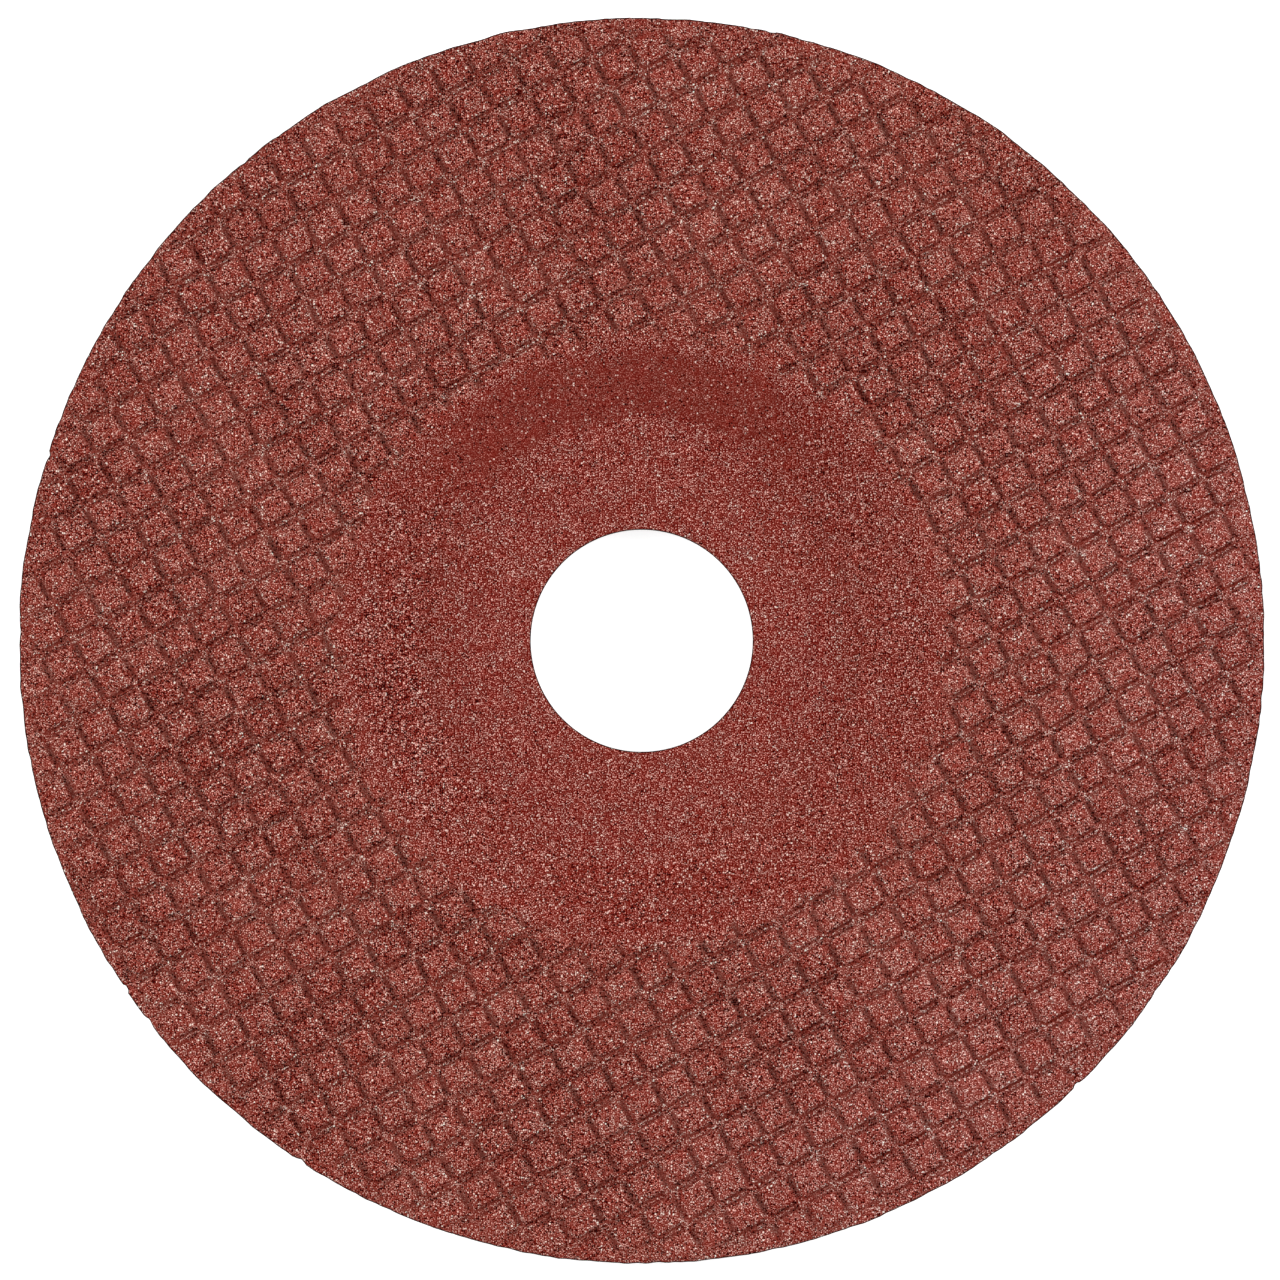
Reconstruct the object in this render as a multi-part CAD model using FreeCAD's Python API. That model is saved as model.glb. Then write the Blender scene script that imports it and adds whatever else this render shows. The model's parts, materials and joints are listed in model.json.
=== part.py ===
import FreeCAD, Part
import math
import os

# Depressed-centre grinding disc with a waffle of square pads pressed into its working face.
# It is one pressed piece, and lies on the back of its hub with the working face up.
# The origin is on the bore's axis at the back of the hub. Sizes are in millimetres.

# Disc
disc_diameter = 125.0
bore_diameter = 22.23
ring_thickness = 3.0
hub_thickness = 3.0
slope_thickness = 2.8  # measured square to the slope

# Dish that takes the clamping nut, sunk below the working face
recess_depth = 4.6  # the back of the ring stands this far above the back of the hub
hub_face_diameter = 44.6  # flat floor of the dish, which meets the slope in a crisp corner
dish_diameter = 59.4  # where the slope would meet the working face
dish_edge_radius = 4.5  # rounds the slope into the working face
hub_edge_radius = 3.0  # rounds the slope into the back of the hub

# Waffle of the working face: two sets of crossing grooves leave square pads
pad_pitch = 3.69
groove_depth = 0.5
groove_width = 0.85  # at the top, between two pads of a row
row_gap = 1.00  # at the top, between two rows
row_angle = 28.82  # degrees from +X to the direction of the rows
shift_along_row = -0.11  # how far the middle pad lies off the bore's axis
shift_across_row = 0.13
dish_border = 0.3  # plain face between the dish's edge and the ends of the grooves

disc_radius = disc_diameter / 2
bore_radius = bore_diameter / 2
dish_radius = dish_diameter / 2
hub_face_radius = hub_face_diameter / 2
face_height = recess_depth + ring_thickness
full_turn = 360.0
centre = FreeCAD.Vector(0, 0, 0)
up = FreeCAD.Vector(0, 0, 1)

# Upper side of the slope, in the plane of radius and height
slope_foot = FreeCAD.Vector(hub_face_radius, 0, hub_thickness)
slope_head = FreeCAD.Vector(dish_radius, 0, face_height)
slope_run = (slope_head - slope_foot).normalize()


def slope_back(height):
    """Point at a height on the slope's under side, parallel to its upper side."""
    start = slope_foot + FreeCAD.Vector(slope_run.z, 0, -slope_run.x) * slope_thickness
    return start + slope_run * ((height - start.z) / slope_run.z)


def rounded(before, corner, after, radius):
    """First, middle and last point of the arc that rounds a corner of the profile."""
    to_before = (before - corner).normalize()
    to_after = (after - corner).normalize()
    half_angle = to_before.getAngle(to_after) / 2
    setback = radius / math.tan(half_angle)
    inward = (to_before + to_after).normalize()
    middle = corner + inward * (radius / math.sin(half_angle) - radius)
    return corner + to_before * setback, middle, corner + to_after * setback


rim_front = FreeCAD.Vector(disc_radius, 0, face_height)
rim_back = FreeCAD.Vector(disc_radius, 0, recess_depth)
bore_front = FreeCAD.Vector(bore_radius, 0, hub_thickness)
bore_back = FreeCAD.Vector(bore_radius, 0, 0)
dish_edge = rounded(rim_front, slope_head, slope_foot, dish_edge_radius)
hub_edge = rounded(bore_back, slope_back(0), slope_back(recess_depth), hub_edge_radius)
groove_start = dish_edge[0].x + dish_border


def plain_disc():
    """The disc before its grooves, turned from its section."""
    section = [
        Part.makeLine(rim_back, rim_front),
        Part.makeLine(rim_front, dish_edge[0]),
        Part.Arc(*dish_edge).toShape(),
        Part.makeLine(dish_edge[2], slope_foot),
        Part.makeLine(slope_foot, bore_front),
        Part.makeLine(bore_front, bore_back),
        Part.makeLine(bore_back, hub_edge[0]),
        Part.Arc(*hub_edge).toShape(),
        Part.makeLine(hub_edge[2], slope_back(recess_depth)),
        Part.makeLine(slope_back(recess_depth), rim_back),
    ]
    return Part.Face(Part.Wire(section)).revolve(centre, up, full_turn)


def groove(along, offset, width, first, last):
    """Cutter for one groove of triangular section, from first to last along its line.

    It is drawn to twice the groove's depth and width, so that it stands clear of the face.
    """
    across = up.cross(along)
    bottom = along * first + across * offset + up * (face_height - groove_depth)
    left = bottom + across * width + up * (2 * groove_depth)
    right = bottom - across * width + up * (2 * groove_depth)
    section = Part.Face(Part.makePolygon([bottom, left, right, bottom]))
    return section.extrude(along * (last - first))


def groove_set(along, shift, width):
    """Cutters for all parallel grooves of one direction, each halved where it meets the dish."""
    overrun = pad_pitch
    count = math.ceil(disc_radius / pad_pitch)
    cutters = []
    for number in range(-count, count):
        offset = number * pad_pitch + pad_pitch / 2 + shift
        nearest = max(abs(offset) - width / 2, 0)
        if nearest >= disc_radius:
            continue
        reach = math.sqrt(disc_radius**2 - nearest**2) + overrun
        if nearest >= groove_start:
            cutters.append(groove(along, offset, width, -reach, reach))
        else:
            clear = math.sqrt(groove_start**2 - nearest**2)
            cutters.append(groove(along, offset, width, -reach, -clear))
            cutters.append(groove(along, offset, width, clear, reach))
    return cutters


def grinding_disc():
    """The whole disc, one solid."""
    along_row = FreeCAD.Rotation(up, row_angle).multVec(FreeCAD.Vector(1, 0, 0))
    across_row = up.cross(along_row)
    between_rows = groove_set(along_row, shift_across_row, row_gap)
    between_pads = groove_set(across_row, -shift_along_row, groove_width)
    return plain_disc().cut(between_rows + between_pads).Solids[0]


os.makedirs("parts", exist_ok=True)
disc = grinding_disc()
disc.exportStep("parts/grinding_disc.step")
print("grinding_disc", "valid" if disc.isValid() else "not valid", round(disc.Volume), "mm3")
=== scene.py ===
import bpy
import bmesh
import json
import math
from mathutils import Matrix, Vector, noise


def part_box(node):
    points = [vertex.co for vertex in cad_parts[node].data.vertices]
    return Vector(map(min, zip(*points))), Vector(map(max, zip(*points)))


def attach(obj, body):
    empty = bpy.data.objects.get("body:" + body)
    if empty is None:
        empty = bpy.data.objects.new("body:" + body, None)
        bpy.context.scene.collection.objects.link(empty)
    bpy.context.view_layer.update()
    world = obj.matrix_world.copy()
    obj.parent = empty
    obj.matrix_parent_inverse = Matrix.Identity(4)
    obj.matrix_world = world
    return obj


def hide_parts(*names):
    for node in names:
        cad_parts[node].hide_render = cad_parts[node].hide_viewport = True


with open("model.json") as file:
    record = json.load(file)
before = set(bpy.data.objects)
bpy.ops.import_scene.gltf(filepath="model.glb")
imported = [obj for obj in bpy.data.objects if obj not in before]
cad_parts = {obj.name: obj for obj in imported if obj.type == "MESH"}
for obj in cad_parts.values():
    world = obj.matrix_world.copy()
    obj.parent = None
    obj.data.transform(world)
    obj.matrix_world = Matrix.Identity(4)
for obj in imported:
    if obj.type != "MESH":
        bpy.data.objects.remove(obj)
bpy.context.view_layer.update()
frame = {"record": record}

mm = 0.001
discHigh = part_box("grinding_disc")[1]
rimRadius = discHigh.x
faceHeight = discHigh.z
boreRadius = next(m for m in frame["record"]["mounts"] if m["name"] == "bore")["dims"]["r_mm"] * mm

# Scales of noise are in waves to the metre, and most pairs are the start and end of a soft edge.


def smoothStep(low, high, value):
    t = min(max((value - low) / (high - low), 0.0), 1.0)
    return t * t * (3 - 2 * t)


def angleOf(place):  # the direction round the disc, in degrees
    return math.degrees(math.atan2(place.y, place.x))


def turnBetween(angle, direction):
    return abs((angle - direction + 180) % 360 - 180)


def nearDirection(angle, direction, full, gone):  # 1 near a direction, soft between full and gone
    return 1 - smoothStep(full, gone, turnBetween(angle, direction))


def cellRandom(column, row, kind):  # the same random number each time for one pad or groove
    return noise.cell(Vector((column + 0.5, row + 0.5, kind * 7.0 + 0.5)))


dish = {  # the pressed section
    "hubThickness": 3.0 * mm,
    "hubRadius": 22.3 * mm,
    "hubRounding": 3.0 * mm,
    "edgeRadius": 29.7 * mm,
    "edgeRounding": 4.5 * mm,
    "backHeight": 4.6 * mm,
    "slopeThickness": 2.8 * mm,
}


def slopeLean():
    return math.atan2(faceHeight - dish["hubThickness"], dish["edgeRadius"] - dish["hubRadius"])


def frontHeight(radius):  # the working side of the section, before its waffle
    foot, head, lean = dish["hubRadius"], dish["edgeRadius"], slopeLean()
    setback = dish["edgeRounding"] * math.tan(lean / 2)
    if radius <= foot:
        return dish["hubThickness"]
    if radius <= head - setback * math.cos(lean):
        return dish["hubThickness"] + (radius - foot) * math.tan(lean)
    if radius >= head + setback:
        return faceHeight
    across = head + setback - radius
    return faceHeight - dish["edgeRounding"] + math.sqrt(dish["edgeRounding"] ** 2 - across ** 2)


def slopeBack(height):  # radius of the slope's under side at a height
    lean = slopeLean()
    startRadius = dish["hubRadius"] + dish["slopeThickness"] * math.sin(lean)
    startHeight = dish["hubThickness"] - dish["slopeThickness"] * math.cos(lean)
    return startRadius + (height - startHeight) / math.tan(lean)


waffle = {
    "pitch": 3.69 * mm,
    "rowAngle": math.radians(28.823),
    "shiftAlong": -0.11 * mm,
    "shiftAcross": 0.13 * mm,
    "cells": 36,
    # mesh lines of one cell, as shares of the pitch from the middle of a groove
    "alongLines": (-0.118, -0.055, 0.055, 0.118, 0.175, 0.33, 0.5, 0.67, 0.825),
    "acrossLines": (-0.140, -0.078, 0.0, 0.078, 0.140, 0.205, 0.36, 0.5, 0.64, 0.795),
    # the pads begin outside the dish
    "fadeRadius": 30.6 * mm,
    "fadeWidth": 1.1 * mm,
    "fadeWander": 1.1 * mm,
    "fadeScale": 260,
    "fadeReach": 2.5 * mm,  # nothing is pressed further in than this
    # and grow fainter near the rim
    "wornWidth": 2.4 * mm,
    "wornEnd": 0.5 * mm,
    "wornShare": 0.65,
    "wornWander": 0.8 * mm,
    "wornScale": 300,
}
groove = {  # slots lie between the pads of a row, furrows between rows
    "slotDepth": 0.44 * mm,
    "slotWall": (0.14 * mm, 0.42 * mm),  # from the middle of the groove
    "slotEnd": (0.50 * mm, 0.80 * mm),  # from the middle of the furrow that stops it
    "slotPower": (0.94, 0.16),  # the least, and how much more some have
    "slotShoulder": (0.38 * mm, 0.70 * mm),
    "furrowDepth": 0.42 * mm,
    "furrowWall": (0.26 * mm, 0.56 * mm),
    "furrowEnd": (0.38 * mm, 0.68 * mm),
    "furrowPower": (0.90, 0.20),
    "furrowShoulder": (0.5 * mm, 0.8 * mm),
    "furrowOffset": 0.05 * mm,
    "ribWidth": 0.24 * mm,  # the low rib along the middle of a furrow
    "ribShare": 0.45,
    "knotDepth": 0.07 * mm,  # where a slot meets a furrow
    "shoulderDepth": 0.04 * mm,
    "wander": 0.05 * mm,
    "wanderScale": 900,
}


def grooveRelief(along, across, place):  # how deep the face is pressed in
    pitch = waffle["pitch"]
    wander = groove["wander"] * noise.noise(place * groove["wanderScale"])
    column, row = math.floor(along / pitch), math.floor(across / pitch)
    fromSlot = abs(along - (column + 0.5) * pitch + wander)
    fromFurrow = abs(across - (row + 0.5) * pitch + wander + groove["furrowOffset"])
    leastSlot, moreSlot = groove["slotPower"]
    leastFurrow, moreFurrow = groove["furrowPower"]
    slotPower = leastSlot + moreSlot * cellRandom(column, round(across / pitch), 1)
    furrowPower = leastFurrow + moreFurrow * cellRandom(round(along / pitch), row, 2)
    slot = 1 - smoothStep(*groove["slotWall"], fromSlot)
    furrow = 1 - smoothStep(*groove["furrowWall"], fromFurrow)
    rib = 1 - smoothStep(0.0, groove["ribWidth"], fromFurrow)
    slotEnd = smoothStep(*groove["slotEnd"], fromFurrow)
    furrowEnd = smoothStep(*groove["furrowEnd"], fromSlot)
    slotDepth = groove["slotDepth"] * slotPower * slot * slotEnd
    furrowDepth = groove["furrowDepth"] * furrowPower * (furrow - groove["ribShare"] * rib) * furrowEnd
    knotDepth = groove["knotDepth"] * max(slot, furrow)
    shoulderDepth = groove["shoulderDepth"] * max(1 - smoothStep(*groove["slotShoulder"], fromSlot),
                                                  1 - smoothStep(*groove["furrowShoulder"], fromFurrow))
    return max(slotDepth, furrowDepth, knotDepth, shoulderDepth)


rim = {
    "roughness": 0.22 * mm,
    "roughLimit": 1.2,  # as a share of the roughness
    "lumpWaves": 18,  # round the rim
    "crumbWaves": 60,
    "crumbShare": 0.35,
    "nickDepth": 0.24 * mm,
    "nickWidth": 0.5,  # degrees
    "nicks": (-45.6, -34.1, -7.1, -1.6, 78.0, 84.0, 125.6, 129.8, 162.7, 164.8, 179.2, 214.0, 217.6,
              223.0, 236.7),
    "chamfer": 0.11 * mm,
    "wallRows": (0.70, 0.40, 0.12, 0.0),  # shares of the ring's thickness
    "wallSetback": 0.06 * mm,
    "wallRoughness": 0.10 * mm,
    "wallScale": 1500,
    # the stretch where the waffle stops short of the rim, in degrees
    "plainStart": (-67.0, -56.0),
    "plainStop": (-28.0, -17.0),
    "plainWidth": 1.3 * mm,
    "plainLeast": 0.3 * mm,
    "plainDepth": 0.34 * mm,
    "plainEdge": (-0.2 * mm, 0.3 * mm),
    "plainWander": 0.5 * mm,
    "plainScale": 250,
}


def roughRim(place):  # the rim's radius in a direction, with its small breaks
    angle = math.atan2(place.y, place.x)
    around = Vector((math.cos(angle), math.sin(angle), 0.3))
    rough = 0.5 + 0.5 * noise.noise(around * rim["lumpWaves"])
    rough += rim["crumbShare"] * noise.noise(around * rim["crumbWaves"])
    nick = 0.0
    for number, azimuth in enumerate(rim["nicks"]):
        nearness = smoothStep(0.0, 0.6, 1 - turnBetween(math.degrees(angle), azimuth) / rim["nickWidth"])
        nick = max(nick, rim["nickDepth"] * nearness * (0.5 + 0.5 * cellRandom(number, 0, 3)))
    return rimRadius - rim["roughness"] * min(max(rough, 0.0), rim["roughLimit"]) - nick


def rimWallRadius(place):
    wander = rim["wallRoughness"] * noise.noise(place * rim["wallScale"])
    return min(roughRim(place) - rim["wallSetback"] + wander, rimRadius)


def plainRim(place):  # 1 on the strip of the rim that the waffle doesn't reach
    angle = angleOf(place)
    width = rim["plainWidth"] * smoothStep(*rim["plainStart"], angle)
    width *= 1 - smoothStep(*rim["plainStop"], angle)
    if width <= rim["plainLeast"]:
        return 0.0
    inner = rimRadius - width + rim["plainWander"] * noise.noise(place * rim["plainScale"])
    return smoothStep(inner + rim["plainEdge"][0], inner + rim["plainEdge"][1], place.length)


zones = {  # where the face's grain changes
    "slopeFoot": (21.9 * mm, 22.8 * mm),
    "slopeHead": (28.2 * mm, 29.6 * mm),
    # the calm crescents have smoother grain and painted shade, darkest at the slope's top
    # direction in degrees, then how far to its side the zone is still full and how far it is gone
    "calmTop": (97, 28, 62),
    "calmLow": (277, 14, 40),
    "calmLowShare": 0.4,
    "coarseLeft": (198, 20, 48),
    "coarseSlope": 0.42,  # on the rest of the slope
    "coarseLow": 0.25,
    "coarseHub": 0.15,
    "outerHub": (16.0 * mm, 19.0 * mm),
    "radiusWander": 1.2 * mm,
    "radiusScale": 300,
    "angleWander": 12,  # degrees
    "angleScale": 200,
    "fairSide": (-22, 30, 85),
    "fairRadius": (36 * mm, 57 * mm),
    "fairLeast": 0.35,
    "fairWander": 8,
    "fairScale": 60,
}


def dishZones(place):  # smooth crescents at the slope's top and foot, where the tone later paints the slope's shade, and coarse grain on its left
    radius = place.length + zones["radiusWander"] * noise.noise(place * zones["radiusScale"])
    turnNoise = noise.noise(place * zones["angleScale"] + Vector((3, 1, 0)))
    angle = angleOf(place) + zones["angleWander"] * turnNoise
    pastFoot = smoothStep(*zones["slopeFoot"], radius)
    onSlope = pastFoot * (1 - smoothStep(*zones["slopeHead"], radius))
    top = nearDirection(angle, *zones["calmTop"])
    low = zones["calmLowShare"] * nearDirection(angle, *zones["calmLow"])
    left = nearDirection(angle, *zones["coarseLeft"])
    elsewhere = zones["coarseSlope"] - zones["coarseSlope"] * top + zones["coarseLow"] * low
    outerHub = smoothStep(*zones["outerHub"], radius) * (1 - pastFoot)
    return onSlope * max(top, low), onSlope * max(left, elsewhere) + zones["coarseHub"] * outerHub


def fairPads(place):  # the pads on the right are paler and less open
    angle = angleOf(place) + zones["fairWander"] * noise.noise(place * zones["fairScale"])
    outward = smoothStep(*zones["fairRadius"], place.length)
    strength = zones["fairLeast"] + (1 - zones["fairLeast"]) * outward
    return nearDirection(angle, *zones["fairSide"]) * strength


def latticeGrid(mesh):  # a grid whose lines run along the walls of the grooves
    alongLines, acrossLines, pitch = waffle["alongLines"], waffle["acrossLines"], waffle["pitch"]
    columns, rows = waffle["cells"] * len(alongLines), waffle["cells"] * len(acrossLines)
    bmesh.ops.create_grid(mesh, x_segments=columns, y_segments=rows, size=1)
    half = waffle["cells"] / 2 - 0.5
    for v in mesh.verts:
        i = round((v.co.x + 1) / 2 * columns)
        j = round((v.co.y + 1) / 2 * rows)
        along = i // len(alongLines) - half + alongLines[i % len(alongLines)]
        across = j // len(acrossLines) - half + acrossLines[j % len(acrossLines)]
        v.co.x = along * pitch + waffle["shiftAlong"]
        v.co.y = across * pitch + waffle["shiftAcross"]
    turn = Matrix.Rotation(waffle["rowAngle"], 3, "Z")
    bmesh.ops.rotate(mesh, verts=mesh.verts, cent=(0, 0, 0), matrix=turn)


def trimToDisc(mesh):
    outside = [f for f in mesh.faces
               if not boreRadius < f.calc_center_median().length < rimRadius - rim["roughness"] / 2]
    bmesh.ops.delete(mesh, geom=outside, context="FACES")
    bmesh.ops.delete(mesh, geom=[v for v in mesh.verts if not v.link_faces], context="VERTS")
    for v in mesh.verts:
        radius = v.co.length
        target = radius
        if v.is_boundary and radius < dish["hubRadius"]:
            target = boreRadius + rim["chamfer"]
        elif v.is_boundary:
            target = roughRim(v.co) - rim["chamfer"]
        elif abs(radius - dish["hubRadius"]) < 0.2 * mm:  # a crisp corner round the hub
            target = dish["hubRadius"]
        v.co *= target / radius


lumps = {"height": 0.03, "scale": 500, "fineHeight": 0.012, "fineScale": 1700}  # heights in mm


def pressFace(mesh):
    names = ("groove", "pitted", "calm", "coarse", "fair")
    grooveLayer, pitted, calm, coarse, fair = [mesh.verts.layers.float.new(name) for name in names]
    cosTurn, sinTurn = math.cos(waffle["rowAngle"]), math.sin(waffle["rowAngle"])
    for v in mesh.verts:
        radius = v.co.length
        along = v.co.x * cosTurn + v.co.y * sinTurn - waffle["shiftAlong"]
        across = -v.co.x * sinTurn + v.co.y * cosTurn - waffle["shiftAcross"]
        depth, fade, left = 0.0, 0.0, 1.0
        if radius > waffle["fadeRadius"] - waffle["fadeReach"]:
            start = waffle["fadeRadius"] + waffle["fadeWander"] * noise.noise(v.co * waffle["fadeScale"])
            fade = smoothStep(start - waffle["fadeWidth"], start + waffle["fadeWidth"] / 2, radius)
            wander = waffle["wornWander"] * noise.noise(v.co * waffle["wornScale"])
            worn = smoothStep(rimRadius - waffle["wornWidth"], rimRadius - waffle["wornEnd"],
                              radius + wander)
            left = 1 - waffle["wornShare"] * worn
            depth = fade * left * grooveRelief(along, across, v.co)
        v[grooveLayer] = fade * left
        v[pitted] = fade
        v[fair] = fade * fairPads(v.co)
        v[calm], v[coarse] = dishZones(v.co)
        depth = max(depth, rim["plainDepth"] * plainRim(v.co))
        lump = lumps["height"] * noise.noise(v.co * lumps["scale"])
        lump += lumps["fineHeight"] * noise.noise(v.co * lumps["fineScale"]) - lumps["height"]
        v.co.z = min(frontHeight(radius) - depth + lump * mm, faceHeight)


def wall(mesh, edges, height, radius):  # pulls an open edge to a new height and radius
    made = bmesh.ops.extrude_edge_only(mesh, edges=edges)["geom"]
    for v in [x for x in made if isinstance(x, bmesh.types.BMVert)]:
        v.co.z = height(v)
        share = radius(v.co) / math.hypot(v.co.x, v.co.y)
        v.co.x *= share
        v.co.y *= share
    return [e for e in made if isinstance(e, bmesh.types.BMEdge)]


back = {
    "spinSteps": 180,
    "roundingSteps": 4,
    "boreRounding": 0.2 * mm,
    "boreRows": (0.6, 0.08),  # shares of the hub's thickness
    "cornerRun": 0.3 * mm,  # softens the corner between the slope and the ring
    "cornerRise": 0.2 * mm,
    "rimGap": 1.1 * mm,
}


def spinBack(mesh):
    lean, rounding, height = slopeLean(), dish["hubRounding"], dish["backHeight"]
    steps = back["roundingSteps"]
    start = slopeBack(0) - rounding * math.tan(lean / 2)
    points = [(boreRadius + back["boreRounding"], 0.0), (start, 0.0)]
    points += [(start + rounding * math.sin(lean * n / steps), rounding * (1 - math.cos(lean * n / steps)))
               for n in range(1, steps + 1)]
    points += [(slopeBack(height) - back["cornerRun"], height - back["cornerRise"]),
               (slopeBack(height) + back["cornerRun"], height),
               (rimRadius - back["rimGap"], height)]
    line = [mesh.verts.new((radius, 0, z)) for radius, z in points]
    edges = [mesh.edges.new(pair) for pair in zip(line, line[1:])]
    bmesh.ops.spin(mesh, geom=line + edges, cent=(0, 0, 0), axis=(0, 0, 1), dvec=(0, 0, 0),
                   angle=math.tau, steps=back["spinSteps"], use_merge=True, use_duplicate=False)


def closeRing(mesh, low, high):  # fills the ring between two open edges
    edges = [e for e in mesh.edges
             if e.is_boundary and all(low < math.hypot(v.co.x, v.co.y) < high for v in e.verts)]
    bmesh.ops.triangle_fill(mesh, use_beauty=True, use_dissolve=False, edges=edges)


finishes = {  # colours as seen on a screen, 0 to 255, in the order of the mesh's materials
    "pressedGrain": {"colour": (145, 61, 51), "bump": 0.25},
    # the rim and bore walls are darker than the face as painted shade along the edges, with a broken grain
    "brokenRimShade": {"colour": (84, 50, 44), "bump": 0.6},
    "backFace": {"colour": (122, 56, 48), "bump": 0.4},
}


def makeDisc():
    mesh = bmesh.new()
    latticeGrid(mesh)
    trimToDisc(mesh)
    pressFace(mesh)
    bmesh.ops.recalc_face_normals(mesh, faces=mesh.faces)
    front = set(mesh.faces)
    openEdges = [e for e in mesh.edges if e.is_boundary]
    rimEdges = [e for e in openEdges if e.verts[0].co.length > dish["hubRadius"]]
    boreEdges = [e for e in openEdges if e.verts[0].co.length < dish["hubRadius"]]
    thickness = faceHeight - dish["backHeight"]
    rimEdges = wall(mesh, rimEdges, lambda v: v.co.z - rim["chamfer"], roughRim)
    for share in rim["wallRows"]:
        rimEdges = wall(mesh, rimEdges, lambda v: dish["backHeight"] + share * thickness, rimWallRadius)
    boreEdges = wall(mesh, boreEdges, lambda v: v.co.z - rim["chamfer"], lambda place: boreRadius)
    for share in back["boreRows"]:
        boreEdges = wall(mesh, boreEdges, lambda v: dish["hubThickness"] * share, lambda place: boreRadius)
    walls = [f for f in mesh.faces if f not in front]
    spinBack(mesh)
    closeRing(mesh, rimRadius - back["rimGap"] - 0.1 * mm, rimRadius + mm)
    closeRing(mesh, boreRadius - 0.1 * mm, boreRadius + back["boreRounding"] + 0.1 * mm)
    bmesh.ops.recalc_face_normals(mesh, faces=mesh.faces)
    order = list(finishes)
    for f in mesh.faces:
        f.material_index = order.index("pressedGrain" if f in front else "backFace")
    for f in walls:
        f.material_index = order.index("brokenRimShade")
    return mesh


def srgb(red, green, blue):  # the shader's colour for a colour as seen on a screen, 0 to 255
    return tuple(c / 12.92 if c <= 0.04045 else ((c + 0.055) / 1.055) ** 2.4
                 for c in (red / 255, green / 255, blue / 255)) + (1.0,)


def addNode(tree, kind, inputs=(), **settings):
    node = tree.nodes.new(kind)
    for name, value in settings.items():
        setattr(node, name, value)
    for name, value in dict(inputs).items():
        if isinstance(value, bpy.types.NodeSocket):
            tree.links.new(value, node.inputs[name])
        else:
            node.inputs[name].default_value = value
    return node


def maths(tree, operation, first, second=0.0, third=0.0):
    return addNode(tree, "ShaderNodeMath", {0: first, 1: second, 2: third}, operation=operation).outputs[0]


def ramped(tree, value, start, stop):  # a soft step from 0 at start to 1 at stop
    inputs = {"Value": value, "From Min": start, "From Max": stop}
    if start > stop:
        inputs = {"Value": value, "From Min": stop, "From Max": start, "To Min": 1.0, "To Max": 0.0}
    return addNode(tree, "ShaderNodeMapRange", inputs, interpolation_type="SMOOTHSTEP").outputs[0]


def between(tree, value, least, more):  # from least, where the value is 0, to least and more
    return maths(tree, "MULTIPLY_ADD", value, more, least)


def product(tree, first, *others):
    for other in others:
        first = maths(tree, "MULTIPLY", first, other)
    return first


def parted(tree, colour):  # three values from one colour
    return addNode(tree, "ShaderNodeSeparateColor", {0: colour}).outputs


def newGroup(name, inputs, outputs):
    group = bpy.data.node_groups.new(name, "ShaderNodeTree")
    group.interface.new_socket(name="Vector", in_out="INPUT", socket_type="NodeSocketVector")
    for label in inputs:
        group.interface.new_socket(name=label, in_out="INPUT", socket_type="NodeSocketFloat")
    for label in outputs:
        group.interface.new_socket(name=label, in_out="OUTPUT", socket_type="NodeSocketFloat")
    return group, group.nodes.new("NodeGroupInput").outputs, group.nodes.new("NodeGroupOutput").inputs


grain = {  # sizes in mm, tones in steps of a screen colour, 0 to 255
    "size": 0.15,
    "core": (0.52, 0.18),  # from a grain's edge to its pale middle, as a share of its size
    "power": (0.25, 0.75),  # the least, and how much more some have
    "level": 0.22,  # the tone that counts as the bond's own
    "tone": 262.0,
    "spotSize": 0.20,
    "spotCore": (0.54, 0.32),
    "spotSpread": (0.7, 0.5),
    "spotPower": (0.4, 0.6),
    "fleckTone": 160.0,
    "fleckShare": 0.09,  # of all spots
    "fleckHue": -0.32,  # pale flecks are greyer
    "poreTone": -190.0,
    "poreShare": 0.22,
    "patchSize": 1.5,
    "patchTone": 16.0,
    "patchEdge": (0.36, 0.64),
    "crowd": (0.8, 0.4),  # spots are fewer in some patches than in others
    "roughness": 0.6,
}


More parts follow.
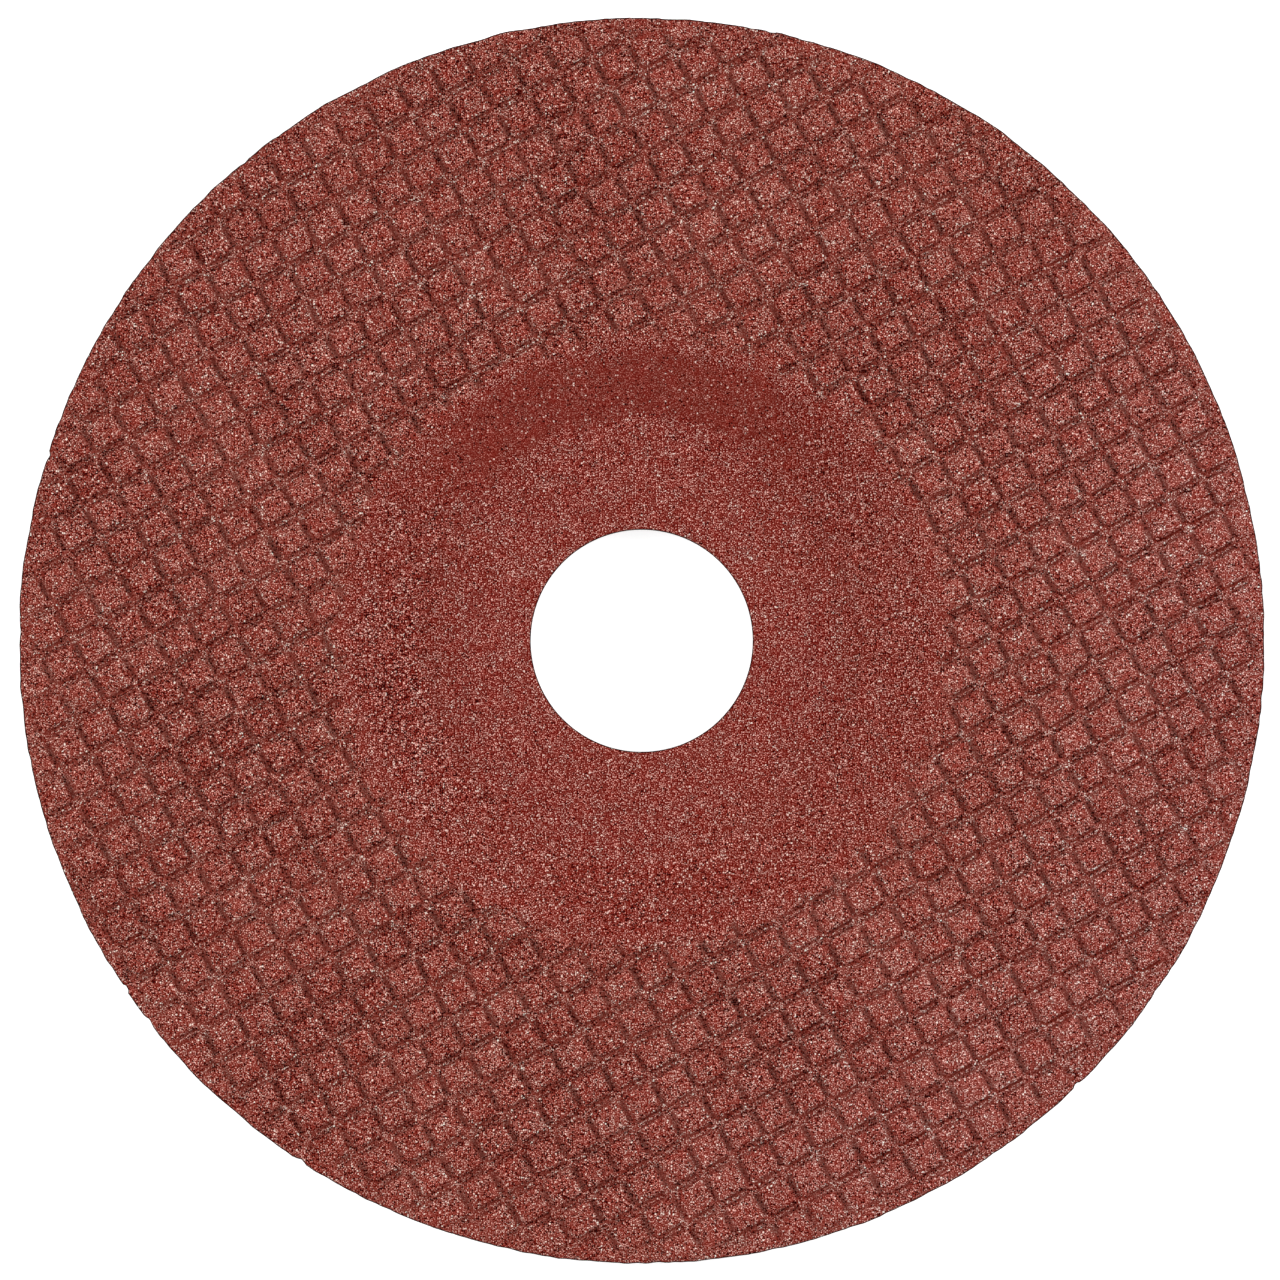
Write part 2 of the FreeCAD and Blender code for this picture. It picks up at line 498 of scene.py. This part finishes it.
def makeGrainGroup(name, dimensions):  # each spot's tone and hue against the bond's, and its height
    group, start, end = newGroup(name, ("Grain", "Flecks", "Pores", "Patches"), ("Tone", "Hue", "Height"))
    place = start["Vector"]
    grains = addNode(group, "ShaderNodeTexVoronoi", {"Vector": place, "Scale": 1 / grain["size"]},
                     voronoi_dimensions=dimensions).outputs
    core = ramped(group, grains["Distance"], *grain["core"])
    power = between(group, maths(group, "POWER", parted(group, grains["Color"])[0], 2.0), *grain["power"])
    tone = maths(group, "SUBTRACT", maths(group, "MULTIPLY", core, power), grain["level"])
    tone = maths(group, "MULTIPLY", tone, maths(group, "MULTIPLY", start["Grain"], grain["tone"]))

    spots = addNode(group, "ShaderNodeTexVoronoi", {"Vector": place, "Scale": 1 / grain["spotSize"]},
                    voronoi_dimensions=dimensions).outputs
    kinds = parted(group, spots["Color"])
    spread = between(group, kinds[2], *grain["spotSpread"])
    spotCore = ramped(group, maths(group, "DIVIDE", spots["Distance"], spread), *grain["spotCore"])
    spotCore = maths(group, "MULTIPLY", spotCore, between(group, kinds[1], *grain["spotPower"]))

    patch = addNode(group, "ShaderNodeTexNoise", {"Vector": place, "Scale": 1 / grain["patchSize"],
                    "Detail": 3.0, "Roughness": grain["roughness"]}, noise_dimensions=dimensions).outputs
    patches = parted(group, patch["Color"])
    shares = []
    for part, share, amount in ((patches[0], grain["fleckShare"], start["Flecks"]),
                                (patches[1], grain["poreShare"], start["Pores"])):
        crowd = between(group, ramped(group, part, *grain["patchEdge"]), *grain["crowd"])
        shares.append(maths(group, "MULTIPLY", maths(group, "MULTIPLY", crowd, share), amount))
    fleck = maths(group, "GREATER_THAN", kinds[0], maths(group, "SUBTRACT", 1.0, shares[0]))
    fleck = maths(group, "MULTIPLY", fleck, spotCore)
    pore = maths(group, "MULTIPLY", maths(group, "LESS_THAN", kinds[0], shares[1]), spotCore)

    tone = maths(group, "MULTIPLY_ADD", fleck, grain["fleckTone"], tone)
    tone = maths(group, "MULTIPLY_ADD", pore, grain["poreTone"], tone)
    patchTone = maths(group, "MULTIPLY", start["Patches"], grain["patchTone"])
    tone = maths(group, "MULTIPLY_ADD", maths(group, "SUBTRACT", patches[0], 0.5), patchTone, tone)
    hue = maths(group, "MULTIPLY_ADD", fleck, grain["fleckHue"], patches[2])
    for label, value in (("Tone", tone), ("Hue", hue), ("Height", core)):
        group.links.new(value, end[label])
    return group


marks = {  # in mm from the middle of a groove; each pair is a soft step, from 0 to 1
    "wander": 0.22,
    "wanderSize": 0.9,
    "wanderRoughness": 0.6,
    # the painted shade in each slot
    "slotWall": (0.38, 0.28),
    "slotEnd": (0.55, 0.90),
    "slotPower": (0.8, 0.4),  # the least, and how much more some have
    "upperAt": 0.21,  # the two painted shadow lines along a furrow's walls
    "upperLine": (0.18, 0.10),
    "lowerAt": -0.36,
    "lowerLine": (0.15, 0.07),
    "lowerShare": 0.75,
    "lineEnd": (0.30, 0.75),
    "furrowPower": (0.8, 0.45),
    "bendAt": (0.70, 0.80),  # the upper painted shadow line turns round each pad's corner
    "bendRadius": 0.60,
    "bendLine": (0.18, 0.07),
    "bendAlong": (0.75, 0.55),
    "bendAcross": (0.85, 0.65),
    "slotDust": (0.62, 0.40),
    "furrowDust": (0.66, 0.44),
    "highlightNear": (-0.40, -0.48),  # a painted highlight: the paler strip along a pad's right side
    "highlightFar": (-0.95, -0.60),
    "highlightEnd": (0.50, 0.80),
}


def ownShare(tree, place, shift, least, more):  # a random value for each pad or groove
    pitch = waffle["pitch"] / mm
    cell = addNode(tree, "ShaderNodeVectorMath", {0: place, 1: (1 / pitch, 1 / pitch, 0), 2: shift + (0,)},
                   operation="MULTIPLY_ADD")
    cell = addNode(tree, "ShaderNodeVectorMath", {0: cell.outputs[0]}, operation="FLOOR")
    own = addNode(tree, "ShaderNodeTexWhiteNoise", {"Vector": cell.outputs[0]}, noise_dimensions="2D")
    return between(tree, own.outputs["Value"], least, more)


def fromLine(tree, value, line):  # how far a value is from a line's
    return maths(tree, "ABSOLUTE", maths(tree, "SUBTRACT", value, line))


def makeWaffleShadingGroup():  # the waffle seen close: painted shade in the slots, painted shadow lines along the furrows, dusty floors, painted highlights along the pads' edges and each pad's tone
    group, start, end = newGroup("waffleShadingAndDust", (), ("SlotShade", "FurrowShade", "Dust", "PaintedHighlight", "Pad"))
    turned = addNode(group, "ShaderNodeMapping", {"Vector": start["Vector"],
                     "Rotation": (0, 0, -waffle["rowAngle"]),
                     "Location": (-waffle["shiftAlong"] / mm, -waffle["shiftAcross"] / mm, 0)}).outputs[0]
    wander = addNode(group, "ShaderNodeTexNoise", {"Vector": turned, "Scale": 1 / marks["wanderSize"],
                     "Detail": 3.0, "Roughness": marks["wanderRoughness"]}).outputs
    bent = addNode(group, "ShaderNodeVectorMath", {0: wander["Color"], 1: (0.5, 0.5, 0.5)},
                   operation="SUBTRACT").outputs[0]
    reach = (marks["wander"], marks["wander"], 0)
    bent = addNode(group, "ShaderNodeVectorMath", {0: bent, 1: reach, 2: turned},
                   operation="MULTIPLY_ADD").outputs[0]
    parts = addNode(group, "ShaderNodeSeparateXYZ", {0: bent}).outputs
    pitch = waffle["pitch"] / mm
    along = maths(group, "SUBTRACT", maths(group, "FLOORED_MODULO", parts[0], pitch), pitch / 2)
    across = maths(group, "SUBTRACT", maths(group, "FLOORED_MODULO", parts[1], pitch), pitch / 2)
    fromSlot = maths(group, "ABSOLUTE", along)
    fromFurrow = maths(group, "ABSOLUTE", across)
    # painted shade in each slot, stronger in some
    slot = product(group, ramped(group, fromSlot, *marks["slotWall"]),
                   ramped(group, fromFurrow, *marks["slotEnd"]),
                   ownShare(group, turned, (0.0, 0.5), *marks["slotPower"]))
    upper = ramped(group, fromLine(group, across, marks["upperAt"]), *marks["upperLine"])
    lower = ramped(group, fromLine(group, across, marks["lowerAt"]), *marks["lowerLine"])
    lines = maths(group, "MAXIMUM", upper, product(group, lower, marks["lowerShare"]))
    lines = product(group, lines, ramped(group, fromSlot, *marks["lineEnd"]))
    corner = addNode(group, "ShaderNodeCombineXYZ", {0: maths(group, "SUBTRACT", along, marks["bendAt"][0]),
                     1: maths(group, "SUBTRACT", across, marks["bendAt"][1])}).outputs[0]
    fromCorner = addNode(group, "ShaderNodeVectorMath", {0: corner}, operation="LENGTH").outputs["Value"]
    bend = ramped(group, fromLine(group, fromCorner, marks["bendRadius"]), *marks["bendLine"])
    inside = product(group, ramped(group, along, *marks["bendAlong"]),
                     ramped(group, across, *marks["bendAcross"]))
    bend = product(group, bend, inside)
    # painted shadow lines along each furrow and round each pad's corner
    furrow = product(group, maths(group, "MAXIMUM", lines, bend),
                     ownShare(group, turned, (0.5, 0.0), *marks["furrowPower"]))
    dust = maths(group, "MAXIMUM", ramped(group, fromSlot, *marks["slotDust"]),
                 ramped(group, fromFurrow, *marks["furrowDust"]))
    # a painted highlight along each pad's right side
    edge = product(group, ramped(group, along, *marks["highlightNear"]), ramped(group, along, *marks["highlightFar"]),
                   ramped(group, fromFurrow, *marks["highlightEnd"]))
    pad = ownShare(group, turned, (0.5, 0.5), 0.0, 1.0)
    for label, value in (("SlotShade", slot), ("FurrowShade", furrow), ("Dust", dust), ("PaintedHighlight", edge), ("Pad", pad)):
        group.links.new(value, end[label])
    return group


flatGrain = makeGrainGroup("bondedGrain", "2D")
brokenGrain = makeGrainGroup("brokenGrain", "3D")
waffleShadingGroup = makeWaffleShadingGroup()

tones = {
    "steps": (-120, -70, -42, -20, 0, 22, 48, 78, 112, 150),
    "darkerBy": (0.88, 1, 0.98),  # how far red, green and blue follow a step
    "palerBy": (0.80, 1, 0.98),
    "least": 4,
    "greyHue": (0.90, 1.35, 1.4, 1),
    "redHue": (1.10, 0.65, 0.6, 1),
}


def toneRamp(tree, tone, base):  # the base colour, made paler or darker by the tone
    darkest, palest = tones["steps"][0], tones["steps"][-1]
    share = maths(tree, "DIVIDE", maths(tree, "SUBTRACT", tone, darkest), palest - darkest)
    ramp = addNode(tree, "ShaderNodeValToRGB", {0: share})
    elements = ramp.color_ramp.elements
    while len(elements) < len(tones["steps"]):
        elements.new(0.5)
    for number, step in enumerate(tones["steps"]):
        follow = tones["darkerBy"] if step < 0 else tones["palerBy"]
        shades = [max(channel + step * part, tones["least"]) for channel, part in zip(base, follow)]
        elements[number].position = (step - darkest) / (palest - darkest)
        elements[number].color = srgb(*shades)
    return ramp.outputs[0]


def dimmed(tree, colour, share, dim):  # the colour, multiplied by another by a share
    mix = addNode(tree, "ShaderNodeMix", {0: share, 6: colour, 7: dim}, data_type="RGBA",
                  blend_type="MULTIPLY")
    return mix.outputs[2]


def weighed(tree, total, parts, weights):  # adds each part by its weight
    for part, weight in weights.items():
        total = maths(tree, "MULTIPLY_ADD", parts[part], weight, total)
    return total


plainGrain = {"Grain": 0.7, "Flecks": 0.8, "Pores": 0.6, "Patches": 1.0}
bond = {"roughness": 0.8, "gloss": 0.02, "bumpDepth": 0.03 * mm}
face = {  # what all of the pressed face has, and what its zones and marks add to that
    "Flecks": (0.4, {"pitted": 0.30, "coarse": 1.8, "calm": 0.1, "sunk": -0.8}),
    "Pores": (0.2, {"coarse": 1.0, "pitted": 1.2, "calm": 0.15, "fair": -0.35}),
    "Patches": (0.4, {"pitted": 0.6}),
    "Grain": (0.86, {"calm": -0.34, "pitted": -0.11, "sunk": -0.35, "coarse": -0.05}),
    # the calm crescents are darkened as painted shade on the dish slope; the pads' right edges are made
    # paler as a painted highlight
    "tone": {"pitted": 10, "paintedSlopeShade": -9, "coarse": -6, "fair": 5.5, "edge": 9, "pad": 9.0},
    "slopeShadeLimit": 0.4,
    "fieldSize": 16.0,  # some fields of pads are more open than others
    "fieldEdge": (0.38, 0.62),
    "fieldPower": (0.77, 0.5),
    # the slots and furrows are darkened as painted shade
    "pressing": {"slot": 0.12, "furrow": 0.50},
    "fairGrooveShade": (0.92, 0.45),
    "pittedDim": (1.0, 1.09, 1.075, 1),
    "fairDim": (1.0, 1.02, 1.07, 1),
    "dustDim": (0.90, 1.03, 1.04, 1),
    "grooveShadeDim": (0.46, 0.10, 0.04, 1),
}


def faceParts(tree, place):  # the face's zones from the mesh, and its marks: painted groove shade, dust, painted highlights and pad tones
    parts = {name: addNode(tree, "ShaderNodeAttribute", attribute_name=name).outputs["Fac"]
             for name in ("groove", "pitted", "calm", "coarse", "fair")}
    made = addNode(tree, "ShaderNodeGroup", {"Vector": place}, node_tree=waffleShadingGroup).outputs
    for part, label in (("slot", "SlotShade"), ("furrow", "FurrowShade"), ("dust", "Dust"), ("edge", "PaintedHighlight")):
        parts[part] = maths(tree, "MULTIPLY", made[label], parts["groove"])
    parts["pad"] = maths(tree, "MULTIPLY", maths(tree, "SUBTRACT", made["Pad"], 0.5), parts["groove"])
    # the grain is quieter where shade is painted in the grooves
    parts["sunk"] = maths(tree, "MAXIMUM", parts["slot"], parts["furrow"])
    # painted shade on the dish slope, held below its limit
    parts["paintedSlopeShade"] = maths(tree, "MINIMUM", parts["calm"], face["slopeShadeLimit"])
    return parts


def makeGrainMaterial(name, grainGroup, pressed=False):
    material = bpy.data.materials.new(name)
    material.use_nodes = True
    tree = material.node_tree
    shader = tree.nodes["Principled BSDF"]
    place = addNode(tree, "ShaderNodeTexCoord").outputs["Object"]
    inMm = addNode(tree, "ShaderNodeMapping", {"Vector": place, "Scale": (1000, 1000, 1000)}).outputs[0]
    spots = addNode(tree, "ShaderNodeGroup", node_tree=grainGroup)
    tree.links.new(inMm, spots.inputs["Vector"])
    for label, value in plainGrain.items():
        spots.inputs[label].default_value = value
    tone = spots.outputs["Tone"]
    if pressed:
        parts = faceParts(tree, inMm)
        amounts = {label: weighed(tree, face[label][0], parts, face[label][1]) for label in plainGrain}
        field = addNode(tree, "ShaderNodeTexNoise", {"Vector": inMm, "Scale": 1 / face["fieldSize"],
                        "Detail": 1.0}, noise_dimensions="2D").outputs[0]
        field = between(tree, ramped(tree, field, *face["fieldEdge"]), *face["fieldPower"])
        amounts["Pores"] = maths(tree, "MULTIPLY", amounts["Pores"], field)
        for label, amount in amounts.items():
            tree.links.new(amount, spots.inputs[label])
        tone = weighed(tree, tone, parts, face["tone"])
    colour = toneRamp(tree, tone, finishes[name]["colour"])
    hue = addNode(tree, "ShaderNodeMix", {0: spots.outputs["Hue"], 6: tones["greyHue"], 7: tones["redHue"]},
                  data_type="RGBA")
    colour = dimmed(tree, colour, 1.0, hue.outputs[2])
    if pressed:
        # painted shade in the slots and along the furrows, less on the fair pads
        pressing = weighed(tree, 0.0, parts, face["pressing"])
        pressing = maths(tree, "MULTIPLY", pressing, between(tree, parts["fair"], *face["fairGrooveShade"]))
        for share, dim in ((parts["pitted"], "pittedDim"), (parts["fair"], "fairDim"),
                           (parts["dust"], "dustDim"), (pressing, "grooveShadeDim")):
            colour = dimmed(tree, colour, share, face[dim])
    tree.links.new(colour, shader.inputs["Base Color"])
    shader.inputs["Roughness"].default_value = bond["roughness"]
    shader.inputs["Specular IOR Level"].default_value = bond["gloss"]
    bump = addNode(tree, "ShaderNodeBump", {"Height": spots.outputs["Height"],
                   "Strength": finishes[name]["bump"], "Distance": bond["bumpDepth"]})
    tree.links.new(bump.outputs[0], shader.inputs["Normal"])
    return material


print("pressing the disc")
body = makeDisc()
discMesh = bpy.data.meshes.new("pressed_disc")
body.to_mesh(discMesh)
body.free()
discMesh.shade_smooth()
discMesh.set_sharp_from_angle(angle=math.radians(50))
pressedDisc = bpy.data.objects.new("pressed_disc", discMesh)
bpy.context.collection.objects.link(pressedDisc)

print("mixing the grain")
discMesh.materials.append(makeGrainMaterial("pressedGrain", flatGrain, pressed=True))
discMesh.materials.append(makeGrainMaterial("brokenRimShade", brokenGrain))
discMesh.materials.append(makeGrainMaterial("backFace", flatGrain))
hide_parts("grinding_disc")
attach(pressedDisc, "root")

print("setting up the studio")
studio = {
    "pictureScale": 0.10018 * mm,  # one pixel of the photograph
    "pictureWidth": 1280,
    "boreAt": (641.7, 640.8),  # the bore's middle in the photograph
    "cameraHeight": 0.5,
    "floorHeight": -0.03 * mm,
    "floorSize": 2.0,
    "floorColour": (0.9, 0.9, 0.9, 1),
    "floorGlow": 0.7,
    "lampDistance": 1.2,
    "lamps": {  # azimuth and elevation in degrees, size in metres, power in watts
        "right lamp": (12, 25, 0.45, 8.0),
        "left lamp": (172, 25, 0.45, 7.2),
        "top lamp": (98, 50, 0.6, 0.7),
    },
    "skyStrength": 0.53,
}


def makeCamera():  # straight above, framed as the photograph
    camera = bpy.data.cameras.new("camera")
    camera.type = "ORTHO"
    camera.ortho_scale = studio["pictureScale"] * studio["pictureWidth"]
    cameraObject = bpy.data.objects.new("camera", camera)
    middle = studio["pictureWidth"] / 2
    cameraObject.location = ((middle - studio["boreAt"][0]) * studio["pictureScale"],
                             (studio["boreAt"][1] - middle) * studio["pictureScale"],
                             studio["cameraHeight"])
    bpy.context.collection.objects.link(cameraObject)
    bpy.context.scene.camera = cameraObject


def makeFloor():
    mesh = bmesh.new()
    bmesh.ops.create_grid(mesh, x_segments=1, y_segments=1, size=studio["floorSize"],
                          matrix=Matrix.Translation((0, 0, studio["floorHeight"])))
    floorMesh = bpy.data.meshes.new("floor")
    mesh.to_mesh(floorMesh)
    mesh.free()
    floor = bpy.data.objects.new("floor", floorMesh)
    bpy.context.collection.objects.link(floor)
    material = bpy.data.materials.new("paleFloor")
    material.use_nodes = True
    tree = material.node_tree
    shader = tree.nodes["Principled BSDF"]
    shader.inputs["Base Color"].default_value = studio["floorColour"]
    shader.inputs["Roughness"].default_value = 0.9
    rays = addNode(tree, "ShaderNodeLightPath").outputs
    seen = maths(tree, "MAXIMUM", rays["Is Camera Ray"],
                 maths(tree, "MAXIMUM", rays["Is Glossy Ray"], rays["Is Transmission Ray"]))
    glow = maths(tree, "MULTIPLY", seen, studio["floorGlow"])
    shader.inputs["Emission Color"].default_value = (1, 1, 1, 1)
    tree.links.new(glow, shader.inputs["Emission Strength"])
    floorMesh.materials.append(material)


def makeLamp(name, azimuth, elevation, size, power):
    light = bpy.data.lights.new(name, "AREA")
    light.size = size
    light.energy = power
    lamp = bpy.data.objects.new(name, light)
    a, e, distance = math.radians(azimuth), math.radians(elevation), studio["lampDistance"]
    lamp.location = (distance * math.cos(e) * math.cos(a), distance * math.cos(e) * math.sin(a),
                     distance * math.sin(e))
    lamp.rotation_mode = "QUATERNION"
    lamp.rotation_quaternion = (-Vector(lamp.location)).to_track_quat("-Z", "Y")
    bpy.context.collection.objects.link(lamp)


def makeSky():
    world = bpy.data.worlds.new("studio")
    bpy.context.scene.world = world
    world.use_nodes = True
    background = world.node_tree.nodes["Background"]
    background.inputs["Color"].default_value = (1, 1, 1, 1)
    background.inputs["Strength"].default_value = studio["skyStrength"]


makeCamera()
makeFloor()
for lampName, settings in studio["lamps"].items():
    makeLamp(lampName, *settings)
makeSky()

bpy.context.scene.view_settings.view_transform = "Standard"
